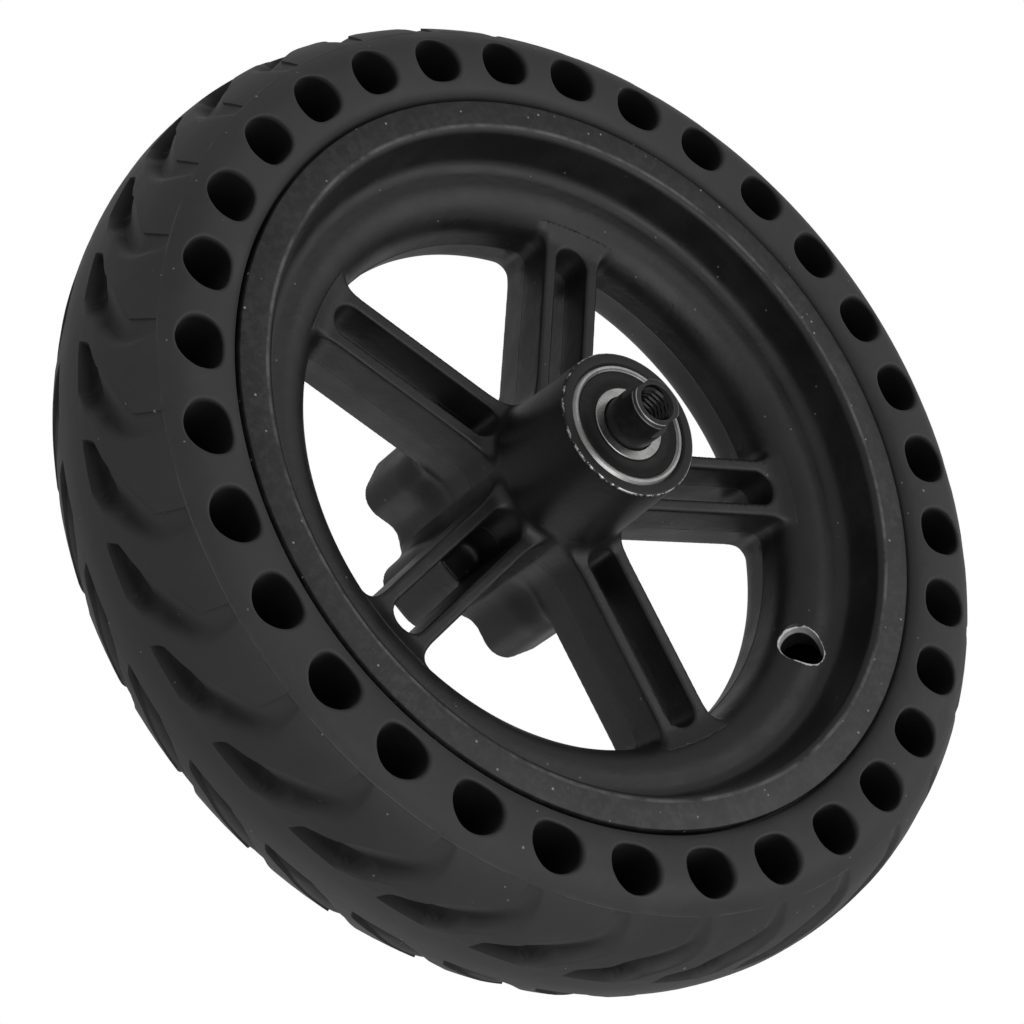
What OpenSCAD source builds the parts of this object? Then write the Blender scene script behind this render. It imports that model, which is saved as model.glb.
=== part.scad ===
// Rear wheel of a small electric scooter: solid rubber tyre, one-piece cast wheel,
// two sealed ball bearings and a through axle.
// The spin axis is Y. The plain side faces -Y, the brake disc side faces +Y, +Z is up.
// Each module is drawn lying down, with its near (plain) side towards +Z, and is then stood up.

/* [Tyre] */
// Tyre outside diameter
tyre_diameter = 223; // [200:1:240]
// Tyre width over the sidewalls
tyre_width = 49.8; // [44:0.2:56]
// Number of holes in each sidewall
sidewall_holes = 32; // [24:1:40]
// Diameter of a sidewall hole
sidewall_hole_diameter = 11; // [8:0.5:12]
// Diameter of the circle the sidewall holes sit on
sidewall_hole_circle = 187.4; // [184:0.2:192]
// Depth of a tread groove
groove_depth = 1.8; // [0.5:0.1:3]

/* [Rim] */
// Diameter of the rim lip
rim_diameter = 170; // [160:1:176]
// Width of the rim over its lips
rim_width = 45; // [40:0.5:48]
// Smallest inside diameter of the barrel
barrel_diameter = 122; // [112:1:126]

/* [Spokes] */
// Number of spokes
spoke_count = 5; // [3:1:7]
// Angle of the first spoke
spoke_angle = 40.4; // [0:0.1:72]
// Spoke width on its faces
spoke_width = 14.2; // [10:0.1:20]
// Spoke depth along the axle
spoke_depth = 17; // [10:0.5:24]
// Width of the slot through a spoke
slot_width = 8; // [4:0.1:10]

/* [Hub] */
// Outside diameter of the hub's ends
hub_end_diameter = 33.2; // [31:0.1:38]
// Distance from the wheel's middle to the near hub face
hub_near = 34.5; // [28:0.5:38]
// Distance from the wheel's middle to the far hub face
hub_far = 32.5; // [31:0.5:38]
// Distance from the wheel's middle to the brake disc face
disc_face = 30; // [24:0.5:34]
// Diameter of the bolt circle of the brake disc
disc_bolt_circle = 44; // [40:1:48]

/* [Axle] */
// Length of the axle
axle_length = 89.6; // [80:0.2:120]
// Distance across the flats at the axle's ends
axle_across_flats = 9.8; // [8:0.1:11]

/* [Hidden] */

$fn = 96;
cut = 1; // how far a cutting shape runs past the face it cuts

tyre_radius = tyre_diameter / 2;
tyre_half = tyre_width / 2;
rim_radius = rim_diameter / 2;
rim_half = rim_width / 2;
bead_radius = rim_radius - 4.5;
flange_inside = rim_half - 3.2;
rim_gap = 0.3;
hole_offset = 3.25;     // angle of the first sidewall hole
hole_floor = 4.5;       // the holes from the two sides stop this far from the middle

barrel_radius = barrel_diameter / 2;
well_radius = barrel_radius + 5.5;
roll = 8.5;             // radius of the rounded shoulder between barrel and rim

spoke_middle_width = spoke_width + 1.2;
spoke_root = 13;
spoke_end = 64.9;
slot_start = 17;
hub_waist = 17.6;
hub_end_radius = hub_end_diameter / 2;
lobe_width = 17.4;
lobe_reach = 27.5;
lobe_corner = 5;
valve_radius = 4.8;
valve_chamfer = 1.8;    // the countersink, which the rounded shoulder mostly cuts away
valve_angle = spoke_angle - 108.3;

// 12 x 28 x 8 mm deep groove ball bearing
bearing_bore = 6;
bearing_outside = 14;
bearing_half = 4;
ball_count = 8;
ball_radius = 2.381;
ball_circle = 10;
race_radius = 2.45;
inner_shoulder = 8.3;
outer_shoulder = 11.45;
seal_recess = 12.35;
fit_gap = 0.02;
near_bearing = hub_near - bearing_half;
far_bearing = -(hub_far - bearing_half);

axle_radius = bearing_bore - fit_gap;
axle_half = axle_length / 2;
axle_shoulder = 7.75;
flat_length = 4.6;
thread_core = 3.4;      // core radius of an M8 thread
thread_depth = 20;

function arc(centre, radius, from, to, steps) =
    [for (i = [0:steps])
        let (a = from + (to - from) * i / steps)
        [centre[0] + radius * cos(a), centre[1] + radius * sin(a)]];

// The same points on the other side of the middle plane, in reverse order
function mirrored(points) =
    [for (i = [len(points) - 1:-1:0]) [points[i][0], -points[i][1]]];

module upright() {
    rotate([90, 0, 0]) children();
}

module turned(points) {
    rotate_extrude(convexity = 8) polygon(points);
}

module around(count, start = 0) {
    for (i = [0:count - 1])
        rotate([0, 0, start + i * 360 / count]) children();
}

// ---------------------------------------------------------------- tyre

// Half of the section, from the rib inside the rim's well, over the lip, to the tread
tyre_section = [
    [bead_radius - 3.3, 8],
    [bead_radius + 0.1, 9.8],
    [bead_radius + 0.1, flange_inside - 0.1],
    [rim_radius + rim_gap, flange_inside - 0.1],
    [rim_radius + rim_gap, rim_half - 0.2],
    [rim_radius + 1.2, tyre_half - 1.6],
    [rim_radius + 4, tyre_half - 0.7],
    [rim_radius + 8.7, tyre_half - 0.1],
    [rim_radius + 12, tyre_half],
    [rim_radius + 15.2, tyre_half - 0.9],
    [rim_radius + 18.2, tyre_half - 3.3],
    [tyre_radius - 4.8, tyre_half - 7.7],
    [tyre_radius - 2.9, tyre_half - 11.6],
    [tyre_radius - 1.3, tyre_half - 15.8],
    [tyre_radius - 0.4, tyre_half - 20]];

module tyre_body() {
    crown = [[tyre_radius, 0]];
    turned(concat(tyre_section, crown, mirrored(tyre_section)));
}

module sidewall_hole() {
    translate([sidewall_hole_circle / 2, 0, hole_floor])
        cylinder(r = sidewall_hole_diameter / 2, h = tyre_half);
}

// One curved tread groove: a pointed crescent that starts near the middle of the tread
// and widens towards the shoulder
module groove() {
    translate([tyre_radius - groove_depth, 0, 0])
        rotate([90, 0, 90])
            linear_extrude(height = groove_depth + cut)
                intersection() {
                    difference() {
                        translate([-16, 2]) circle(r = 16);
                        translate([-19.4, 0.4]) circle(r = 16.4);
                    }
                    translate([-14, 2.5]) square([20, 16]);
                }
}

module tyre() {
    color([0.05, 0.05, 0.05]) upright()
        difference() {
            tyre_body();
            around(sidewall_holes, hole_offset) {
                sidewall_hole();
                mirror([0, 0, 1]) sidewall_hole();
                groove();
                mirror([0, 0, 1]) groove();
            }
        }
}

// ---------------------------------------------------------------- wheel casting

rim_inside = concat(
    [[barrel_radius + 0.5, 3.5]],
    arc([barrel_radius + 0.5 + roll, 3.5], roll, 170, 90, 6),
    [[barrel_radius + 11.6, 12], [barrel_radius + 13.4, 12.7], [barrel_radius + 14.5, 14.4],
     [barrel_radius + 16.2, rim_half - 2]],
    arc([rim_radius - 5.9, rim_half - 1.9], 1.9, 170, 90, 4),
    [[rim_radius, rim_half]]);

rim_outside = [
    [rim_radius, flange_inside],
    [bead_radius, flange_inside],
    [bead_radius, 13],
    [bead_radius - 4, 8.8],
    [bead_radius - 10, 7.5],
    [well_radius, 4]];

module rim() {
    half = concat(rim_inside, rim_outside);
    waist = [[barrel_radius, 0]];
    turned(concat(waist, half, mirrored(half)));
}

module spoke_blank() {
    translate([spoke_root, 0, 0])
        rotate([0, 90, 0])
            linear_extrude(height = spoke_end - spoke_root)
                polygon([
                    [-spoke_depth / 2, -spoke_width / 2], [0, -spoke_middle_width / 2],
                    [spoke_depth / 2, -spoke_width / 2], [spoke_depth / 2, spoke_width / 2],
                    [0, spoke_middle_width / 2], [-spoke_depth / 2, spoke_width / 2]]);
    translate([0, 0, -spoke_depth / 2])
        linear_extrude(height = spoke_depth)
            polygon([[56, -spoke_width / 2 + 0.2], [spoke_end, -9], [spoke_end, 9],
                     [56, spoke_width / 2 - 0.2]]);
}

module spoke_slot() {
    first = slot_start + slot_width / 2;
    last = barrel_radius - 0.4 - slot_width / 2;
    translate([0, 0, -spoke_depth / 2 - cut])
        linear_extrude(height = spoke_depth + 2 * cut) {
            translate([first, -slot_width / 2]) square([last - first, slot_width]);
            translate([first, 0]) circle(r = slot_width / 2);
            translate([last, 0]) circle(r = slot_width / 2);
        }
}

module spoke() {
    difference() {
        spoke_blank();
        spoke_slot();
    }
}

// One of the columns that carry the brake disc
module disc_lobe() {
    straight = lobe_reach - lobe_corner;
    side = lobe_width / 2 - lobe_corner;
    translate([0, 0, -disc_face])
        linear_extrude(height = disc_face - spoke_depth / 2 + 0.5) {
            translate([spoke_root, -lobe_width / 2])
                square([straight - spoke_root, lobe_width]);
            translate([spoke_root, -side]) square([lobe_reach - spoke_root, 2 * side]);
            translate([straight, side]) circle(r = lobe_corner);
            translate([straight, -side]) circle(r = lobe_corner);
        }
}

module disc_bolt_hole() {
    translate([disc_bolt_circle / 2, 0, -disc_face - cut])
        cylinder(r = 2.1, h = 14 + cut);
}

module hub_blank() {
    turned([[0, hub_near], [hub_end_radius - 0.5, hub_near], [hub_end_radius, hub_near - 0.5],
            [hub_waist, 0],
            [hub_end_radius + 0.4, -disc_face + 1.5], [hub_end_radius, -disc_face + 1.5],
            [hub_end_radius, -hub_far + 0.4], [hub_end_radius - 0.4, -hub_far], [0, -hub_far]]);
}

module hub_bore() {
    bore = bearing_outside;
    inner = 12;
    near_seat = hub_near - 2 * bearing_half;
    far_seat = -hub_far + 2 * bearing_half;
    turned([[0, hub_near + cut], [bore + 0.4, hub_near + cut], [bore + 0.4, hub_near],
            [bore, hub_near - 0.4], [bore, near_seat], [inner, near_seat],
            [inner, far_seat], [bore, far_seat], [bore, -hub_far + 0.4],
            [bore + 0.4, -hub_far], [bore + 0.4, -hub_far - cut], [0, -hub_far - cut]]);
}

// The hole for a tyre valve leans towards the plain side
module valve_hole() {
    rotate([0, 0, valve_angle])
        translate([barrel_radius + 6.4, 0, 10.6])
            rotate([0, 135, 0]) {
                translate([0, 0, -10]) cylinder(r = valve_radius, h = 30);
                translate([0, 0, -2.8])
                    cylinder(r1 = valve_radius + valve_chamfer, r2 = valve_radius, h = valve_chamfer);
            }
}

module wheel_casting() {
    color([0.09, 0.09, 0.09]) upright()
        difference() {
            union() {
                rim();
                hub_blank();
                around(spoke_count, spoke_angle) {
                    spoke();
                    disc_lobe();
                }
            }
            hub_bore();
            valve_hole();
            around(spoke_count, spoke_angle) disc_bolt_hole();
        }
}

// ---------------------------------------------------------------- axle

module axle_flats(end) {
    for (side = [-1, 1])
        translate([-10, side > 0 ? axle_across_flats / 2 : -axle_across_flats / 2 - 10,
                   end > 0 ? axle_half - flat_length : -axle_half - cut])
            cube([20, 10, flat_length + cut]);
}

module axle_thread_core(end) {
    mirror([0, 0, end > 0 ? 0 : 1])
        turned([[0, axle_half - thread_depth], [thread_core, axle_half - thread_depth],
                [thread_core, axle_half - 0.8], [thread_core + 0.8, axle_half],
                [thread_core + 0.8, axle_half + cut], [0, axle_half + cut]]);
}

module axle() {
    near_shoulder = near_bearing - bearing_half;
    far_shoulder = far_bearing + bearing_half;
    color([0.07, 0.07, 0.07]) upright()
        difference() {
            turned([[0, axle_half], [axle_radius - 0.6, axle_half], [axle_radius, axle_half - 0.6],
                    [axle_radius, near_shoulder], [axle_shoulder, near_shoulder],
                    [axle_shoulder, far_shoulder], [axle_radius, far_shoulder],
                    [axle_radius, -axle_half + 0.6], [axle_radius - 0.6, -axle_half],
                    [0, -axle_half]]);
            for (end = [-1, 1]) {
                axle_flats(end);
                axle_thread_core(end);
            }
        }
}

// ---------------------------------------------------------------- ball bearings

module place_bearing(side) {
    upright() translate([0, 0, side > 0 ? near_bearing : far_bearing])
        mirror([0, 0, side > 0 ? 0 : 1]) children();
}

module outer_ring(side) {
    chamfer = 0.3;
    outside = bearing_outside - fit_gap;
    color([0.72, 0.72, 0.73]) place_bearing(side)
        rotate_extrude(convexity = 6) difference() {
            polygon([[outer_shoulder, -2.6], [seal_recess, -2.6], [seal_recess, -bearing_half],
                     [outside - chamfer, -bearing_half], [outside, -bearing_half + chamfer],
                     [outside, bearing_half - chamfer], [outside - chamfer, bearing_half],
                     [seal_recess, bearing_half], [seal_recess, 2.6], [outer_shoulder, 2.6]]);
            translate([ball_circle, 0]) circle(r = race_radius);
        }
}

module inner_ring(side) {
    chamfer = 0.3;
    color([0.72, 0.72, 0.73]) place_bearing(side)
        rotate_extrude(convexity = 6) difference() {
            polygon([[bearing_bore, -bearing_half + chamfer], [bearing_bore + chamfer, -bearing_half],
                     [inner_shoulder, -bearing_half], [inner_shoulder, bearing_half],
                     [bearing_bore + chamfer, bearing_half],
                     [bearing_bore, bearing_half - chamfer]]);
            translate([ball_circle, 0]) circle(r = race_radius);
        }
}

module cage_half(side, face) {
    plate = 0.5;
    cup = 2.75;
    half_width = 1.2;
    color([0.55, 0.54, 0.52]) place_bearing(side) mirror([0, 0, face > 0 ? 0 : 1])
        difference() {
            intersection() {
                union() {
                    translate([0, 0, fit_gap]) cylinder(r = ball_circle + half_width, h = plate);
                    around(ball_count) translate([ball_circle, 0, 0]) sphere(r = cup);
                }
                translate([0, 0, fit_gap]) difference() {
                    cylinder(r = ball_circle + half_width, h = 3);
                    translate([0, 0, -cut]) cylinder(r = ball_circle - half_width, h = 3 + 2 * cut);
                }
            }
            around(ball_count) translate([ball_circle, 0, 0]) sphere(r = race_radius);
            around(ball_count, 180 / ball_count)
                translate([ball_circle, 0, -cut]) cylinder(r = 0.42, h = 3);
        }
}

module cage_rivets(side) {
    color([0.5, 0.5, 0.5]) place_bearing(side)
        around(ball_count, 180 / ball_count) translate([ball_circle, 0, 0]) {
            translate([0, 0, -0.8]) cylinder(r = 0.4, h = 1.6);
            for (end = [0, 1])
                mirror([0, 0, end]) translate([0, 0, 0.54]) cylinder(r = 0.75, h = 0.26);
        }
}

module seal(side, face) {
    color([0.06, 0.06, 0.06]) place_bearing(side) mirror([0, 0, face > 0 ? 0 : 1])
        turned([[inner_shoulder + 0.05, 3.12], [seal_recess - 0.02, 3.12], [seal_recess - 0.02, 3.7],
                [11.7, 3.7], [11.5, 3.55], [9.4, 3.55], [9.2, 3.7], [inner_shoulder + 0.05, 3.7]]);
}

module seal_disc(side, face) {
    color([0.6, 0.6, 0.6]) place_bearing(side) mirror([0, 0, face > 0 ? 0 : 1])
        turned([[9, 2.84], [12.1, 2.84], [12.1, 3.1], [9, 3.1]]);
}

module ball(side, number) {
    color([0.8, 0.8, 0.81]) place_bearing(side)
        rotate([0, 0, (number - 1) * 360 / ball_count])
            translate([ball_circle, 0, 0]) sphere(r = ball_radius);
}

// ---------------------------------------------------------------- nodes

tyre();
wheel_casting();
axle();
outer_ring(1);  // near_outer_ring
inner_ring(1);  // near_inner_ring
cage_half(1, 1);  // near_cage_outer_half
cage_half(1, -1);  // near_cage_inner_half
cage_rivets(1);  // near_cage_rivets
seal(1, 1);  // near_outer_seal
seal_disc(1, 1);  // near_outer_seal_disc
seal(1, -1);  // near_inner_seal
seal_disc(1, -1);  // near_inner_seal_disc
ball(1, 1);  // near_ball_1
ball(1, 2);  // near_ball_2
ball(1, 3);  // near_ball_3
ball(1, 4);  // near_ball_4
ball(1, 5);  // near_ball_5
ball(1, 6);  // near_ball_6
ball(1, 7);  // near_ball_7
ball(1, 8);  // near_ball_8
outer_ring(-1);  // far_outer_ring
inner_ring(-1);  // far_inner_ring
cage_half(-1, 1);  // far_cage_outer_half
cage_half(-1, -1);  // far_cage_inner_half
cage_rivets(-1);  // far_cage_rivets
seal(-1, 1);  // far_outer_seal
seal_disc(-1, 1);  // far_outer_seal_disc
seal(-1, -1);  // far_inner_seal
seal_disc(-1, -1);  // far_inner_seal_disc
ball(-1, 1);  // far_ball_1
ball(-1, 2);  // far_ball_2
ball(-1, 3);  // far_ball_3
ball(-1, 4);  // far_ball_4
ball(-1, 5);  // far_ball_5
ball(-1, 6);  // far_ball_6
ball(-1, 7);  // far_ball_7
ball(-1, 8);  // far_ball_8
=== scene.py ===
"""Looks of a small scooter's rear wheel: solid rubber tyre, cast five-spoke wheel, two sealed bearings
and a through axle.

Sizes in the shape functions are millimetres, and those in the materials are metres. The spin axis is
Y and the near (plain) side faces -Y, so depths along the axle are written as n = -y, counted from the
wheel's middle towards the near side. Angles run from +X towards +Z."""
import math

import bmesh
import bpy
import numpy as np
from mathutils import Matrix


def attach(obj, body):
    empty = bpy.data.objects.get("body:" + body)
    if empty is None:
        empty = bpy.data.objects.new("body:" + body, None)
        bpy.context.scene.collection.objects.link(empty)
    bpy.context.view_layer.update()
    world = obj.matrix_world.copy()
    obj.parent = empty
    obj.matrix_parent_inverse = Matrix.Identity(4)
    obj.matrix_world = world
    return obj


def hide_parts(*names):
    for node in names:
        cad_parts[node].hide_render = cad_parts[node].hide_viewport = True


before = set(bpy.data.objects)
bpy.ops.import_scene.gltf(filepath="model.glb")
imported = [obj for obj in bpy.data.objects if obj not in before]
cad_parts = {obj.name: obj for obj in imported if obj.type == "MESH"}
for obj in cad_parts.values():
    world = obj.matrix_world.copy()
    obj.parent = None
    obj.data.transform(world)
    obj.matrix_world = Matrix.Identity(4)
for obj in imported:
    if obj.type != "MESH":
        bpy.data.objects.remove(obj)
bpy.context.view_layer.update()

import openvdb
from mathutils import Matrix, Vector

MM = 0.001
PITCHES = 32                      # sidewall holes and tread grooves round the tyre
PITCH = 360 / PITCHES
GROOVE_START = 0.2                # angle of the first groove's inner corner
HOLE_ANGLE = 3.25                 # angle of the first sidewall hole
SPOKES = 5
SPOKE_ANGLE = 40.4
VALVE_ANGLE = SPOKE_ANGLE - 108.3
HUB_NEAR = 34.5
HUB_FAR = -32.5
BEARING_HALF = 4.0
AXLE_HALF = 44.8
RIM_SHARP = 32                    # edges of the rim and hub above this angle stay crisp, degrees


# ---------------------------------------------------------------- meshes

def link(thing):
    bpy.context.scene.collection.objects.link(thing)


def smoothstep(low, high, value):
    t = np.clip((value - low) / (high - low), 0.0, 1.0)
    return t * t * (3 - 2 * t)


def enclosed_volume(mesh):
    """The volume that a closed mesh holds, negative if its faces look inwards."""
    shape = bmesh.new()
    shape.from_mesh(mesh)
    volume = shape.calc_volume(signed=True)
    shape.free()
    return volume


def build(name, points, faces, body, nodes, materials, sharp=35, normals=None, marks=None):
    """One visible piece from points in mm. sharp is the angle above which an edge stays crisp, and
    marks holds one number for each point, from 0 to 1, which the material reads as wear on the axle and as
    painted shade in the tyre's grooves."""
    mesh = bpy.data.meshes.new(name)
    mesh.from_pydata((np.asarray(points) * MM).tolist(), [], faces)
    if enclosed_volume(mesh) < 0:
        mesh.flip_normals()
    mesh.shade_smooth()
    if sharp:
        mesh.set_sharp_from_angle(angle=math.radians(sharp))
    if normals is not None:
        mesh.normals_split_custom_set_from_vertices(normals)
    if marks is not None:
        layer = mesh.attributes.new("mark", "FLOAT", "POINT")
        layer.data.foreach_set("value", marks)
    for material in materials:
        mesh.materials.append(material)
    piece = bpy.data.objects.new(name, mesh)
    link(piece)
    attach(piece, body)
    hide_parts(*nodes)
    return piece


def turned(profile, count=192):
    """Points and faces of a closed profile [(radius, n), ...] turned about the axle.
    The profile runs so that its inside is on its left in the (radius, n) plane."""
    profile = np.array(profile, float)
    angles = np.arange(count) * 2 * math.pi / count
    points = np.empty((count, len(profile), 3))
    points[..., 0] = np.cos(angles)[:, None] * profile[:, 0]
    points[..., 1] = -profile[:, 1]
    points[..., 2] = np.sin(angles)[:, None] * profile[:, 0]
    rows = len(profile)
    faces = []
    for i in range(count):
        a = i * rows
        b = (i + 1) % count * rows
        for j in range(rows):
            k = (j + 1) % rows
            faces.append((a + j, a + k, b + k, b + j))
    return points.reshape(-1, 3), faces


def rounded(points, radius, steps=4):
    """A closed profile with each corner cut by an arc. radius is one number or one for each corner."""
    count = len(points)
    radii = [radius] * count if isinstance(radius, (int, float)) else radius
    out = []
    for i in range(count):
        here = Vector(points[i])
        back = Vector(points[i - 1]) - here
        ahead = Vector(points[(i + 1) % count]) - here
        size = min(radii[i], 0.45 * back.length, 0.45 * ahead.length)
        if size < 1e-6:
            out.append(tuple(here))
            continue
        start = here + back.normalized() * size
        end = here + ahead.normalized() * size
        for k in range(steps + 1):
            t = k / steps
            out.append(tuple(start * (1 - t) ** 2 + here * 2 * t * (1 - t) + end * t * t))
    return out


# ---------------------------------------------------------------- materials

class Shader:
    """A material's node tree, with short names for the nodes that the materials here share."""

    def __init__(self, name):
        self.material = bpy.data.materials.new(name)
        self.material.use_nodes = True
        self.nodes = self.material.node_tree.nodes
        self.links = self.material.node_tree.links
        self.surface = self.nodes["Principled BSDF"]
        self.place = self.nodes.new("ShaderNodeTexCoord").outputs["Object"]

    def wire(self, value, socket):
        if isinstance(value, (int, float, tuple)):
            socket.default_value = value
        else:
            self.links.new(value, socket)

    def noise(self, scale, detail=3.0, roughness=0.5):
        node = self.nodes.new("ShaderNodeTexNoise")
        node.inputs["Scale"].default_value = scale
        node.inputs["Detail"].default_value = detail
        node.inputs["Roughness"].default_value = roughness
        self.links.new(self.place, node.inputs["Vector"])
        return node.outputs["Fac"]

    def math(self, kind, a, b=0.0):
        node = self.nodes.new("ShaderNodeMath")
        node.operation = kind
        self.wire(a, node.inputs[0])
        self.wire(b, node.inputs[1])
        return node.outputs[0]

    def times(self, a, b):
        return self.math("MULTIPLY", a, b)

    def away(self, a, b):
        """How far a lies from b, on either side."""
        return self.math("ABSOLUTE", self.math("SUBTRACT", a, b))

    def ramp(self, value, low, high, out_low=0.0, out_high=1.0):
        """A smooth step from out_low, where value is low or less, to out_high."""
        node = self.nodes.new("ShaderNodeMapRange")
        node.interpolation_type = "SMOOTHSTEP"
        self.wire(value, node.inputs["Value"])
        limits = {"From Min": low, "From Max": high, "To Min": out_low, "To Max": out_high}
        for name, number in limits.items():
            node.inputs[name].default_value = number
        return node.outputs["Result"]

    def mix(self, factor, a, b):
        """Colour a where factor is 0, colour b where it is 1."""
        node = self.nodes.new("ShaderNodeMix")
        node.data_type = "RGBA"
        self.wire(factor, node.inputs["Factor"])
        self.wire(a, node.inputs[6])
        self.wire(b, node.inputs[7])
        return node.outputs[2]

    def blend(self, factor, a, b):
        """Number a where factor is 0, number b where it is 1."""
        node = self.nodes.new("ShaderNodeMix")
        self.wire(factor, node.inputs["Factor"])
        self.wire(a, node.inputs[2])
        self.wire(b, node.inputs[3])
        return node.outputs[0]

    def bump(self, height, distance, strength=1.0, under=None):
        node = self.nodes.new("ShaderNodeBump")
        node.inputs["Distance"].default_value = distance
        node.inputs["Strength"].default_value = strength
        self.links.new(height, node.inputs["Height"])
        if under is not None:
            self.links.new(under, node.inputs["Normal"])
        return node.outputs["Normal"]

    def specks(self, scale, size, share):
        """Sparse small dots: one in each cell of the given scale, kept for a share of the cells."""
        node = self.nodes.new("ShaderNodeTexVoronoi")
        node.inputs["Scale"].default_value = scale
        self.links.new(self.place, node.inputs["Vector"])
        split = self.nodes.new("ShaderNodeSeparateColor")
        self.links.new(node.outputs["Color"], split.inputs[0])
        dot = self.ramp(node.outputs["Distance"], size * 0.5, size, 1.0, 0.0)
        return self.times(dot, self.math("LESS_THAN", split.outputs[0], share))

    def hypot(self, a, b):
        total = self.math("ADD", self.times(a, a), self.times(b, b))
        return self.math("SQRT", total)

    def radius(self):
        """Distance from the spin axis, in metres."""
        split = self.nodes.new("ShaderNodeSeparateXYZ")
        self.links.new(self.place, split.inputs[0])
        return self.hypot(split.outputs["X"], split.outputs["Z"])

    def along(self):
        """Position along the spin axis, in metres."""
        split = self.nodes.new("ShaderNodeSeparateXYZ")
        self.links.new(self.place, split.inputs[0])
        return split.outputs["Y"]

    def mark(self):
        """The number that the mesh carries at each point."""
        node = self.nodes.new("ShaderNodeAttribute")
        node.attribute_name = "mark"
        return node.outputs["Fac"]

    def finish(self, colour, roughness, normal=None, metallic=0.0, specular=0.5, sheen=0.0):
        self.wire(colour, self.surface.inputs["Base Color"])
        self.wire(roughness, self.surface.inputs["Roughness"])
        self.wire(metallic, self.surface.inputs["Metallic"])
        self.surface.inputs["Specular IOR Level"].default_value = specular
        if sheen:
            self.surface.inputs["Sheen Weight"].default_value = sheen
            self.surface.inputs["Sheen Roughness"].default_value = 0.4
        if normal is not None:
            self.links.new(normal, self.surface.inputs["Normal"])
        return self.material


def grey(value, warm=0.0):
    return (value * (1 + warm), value, value * (1 - warm), 1.0)


PAINT = 0.009                             # lightness of the casting's paint and of the tyre's rubber
RUBBER = 0.022

# Where the materials change, each as a range in metres over which the change happens
RIDGE_LINE = (0.00005, 0.00014)           # out from the middle of the tyre's parting ridge
HOLE_REACH = (0.0056, 0.0058)             # in or out from the circle of sidewall holes, the reach of the painted shade inside them
HOLE_MOUTH = (0.0232, 0.0240)             # across from the wheel's middle, just inside the holes' lips, where that painted shade begins
PARTING_LINE = (0.00008, 0.00022)         # across from the middle of the casting's parting line
LIP_RADIUS = (0.0786, 0.0796)
LIP_ACROSS = (0.0205, 0.0218)
CORNER_ACROSS = (0.0205, 0.0215)
CORNER_START = (0.0781, 0.0785)           # radius where the painted highlight on the lip's rounded corner begins and ends
CORNER_END = (0.0788, 0.0793)
CHAMFER_START = (0.01622, 0.01632)        # radius where the worn flecks on the chamfer of the hub's ends begin and end
CHAMFER_END = (0.01665, 0.01668)
CHAMFER_DEPTH = 0.52                      # radius of a painted shade line on the bearing's outer ring, where the mesh has no groove
SHADE_LINE_RADIUS = 0.01276                     # radius of the dark line turned in the bearing's outer ring
SHADE_LINE_HALF = (0.00006, 0.00016)
THREAD_MOUTH = (0.0040, 0.0041)
HUB_TURNING = 26000.0                     # turning marks, radians for each metre of radius
STEEL_TURNING = 30000.0


def tyre_rubber():
    s = Shader("tyre_rubber")
    patches = s.noise(22, 4, 0.6)
    grain = s.noise(900, 4, 0.6)
    dust = s.math("MAXIMUM", s.specks(420, 0.10, 0.10), s.specks(230, 0.09, 0.05))
    film = s.ramp(s.noise(60, 5, 0.65), 0.50, 0.80)
    colour = s.mix(s.ramp(patches, 0.35, 0.7), grey(RUBBER), grey(RUBBER * 1.45, 0.01))
    colour = s.mix(s.times(film, 0.28), colour, grey(RUBBER * 3, 0.03))
    colour = s.mix(s.times(dust, 0.7), colour, grey(0.28, 0.04))
    from_ridge = s.away(s.radius(), RIDGE_RADIUS * MM)
    broken = s.ramp(s.noise(75, 4, 0.7), 0.40, 0.60)
    ridge = s.times(s.ramp(from_ridge, *RIDGE_LINE, 1.0, 0.0), broken)
    colour = s.mix(s.times(ridge, 0.6), colour, grey(RUBBER * 3.5))
    # painted shade: the sidewall holes' walls and floors darkened to near black
    from_holes = s.away(s.radius(), HOLE_CIRCLE * MM)
    within = s.ramp(from_holes, *HOLE_REACH, 1.0, 0.0)
    hole_shade_across = s.ramp(s.math("ABSOLUTE", s.along()), *HOLE_MOUTH, 1.0, 0.0)
    colour = s.mix(s.times(within, hole_shade_across), colour, grey(RUBBER * 0.12))
    # painted shade: the grooves' pockets darkened where the mesh's mark is high
    colour = s.mix(s.times(s.mark(), 0.95), colour, grey(RUBBER * 0.1))
    roughness = s.blend(s.mark(), s.ramp(patches, 0.3, 0.75, 0.50, 0.66), 0.9)
    normal = s.bump(grain, 0.00010, 0.5)
    normal = s.bump(s.noise(120, 3, 0.5), 0.0005, 0.25, normal)
    return s.finish(colour, roughness, normal, specular=0.5, sheen=0.06)


def paint_layers(s):
    """Colour, roughness and normal of the cast wheel's satin paint, with a parting line at mid width."""
    peel = s.noise(700, 3, 0.55)
    cast = s.noise(95, 4, 0.55)
    dust = s.specks(420, 0.13, 0.10)
    film = s.ramp(s.noise(45, 5, 0.7), 0.50, 0.80)
    line = s.ramp(s.math("ABSOLUTE", s.along()), *PARTING_LINE, 1.0, 0.0)
    colour = s.mix(s.ramp(cast, 0.35, 0.7), grey(PAINT), grey(PAINT * 1.4))
    colour = s.mix(s.times(film, 0.18), colour, grey(0.06))
    colour = s.mix(s.times(line, 0.35), colour, grey(0.06))
    colour = s.mix(s.times(dust, 0.6), colour, grey(0.22))
    roughness = s.ramp(cast, 0.3, 0.7, 0.36, 0.48)
    normal = s.bump(peel, 0.00012, 0.5)
    normal = s.bump(cast, 0.0006, 0.3, normal)
    normal = s.bump(line, 0.00012, 0.8, normal)
    return colour, roughness, normal


def wheel_paint():
    s = Shader("wheel_paint")
    colour, roughness, normal = paint_layers(s)
    return s.finish(colour, roughness, normal)


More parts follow.
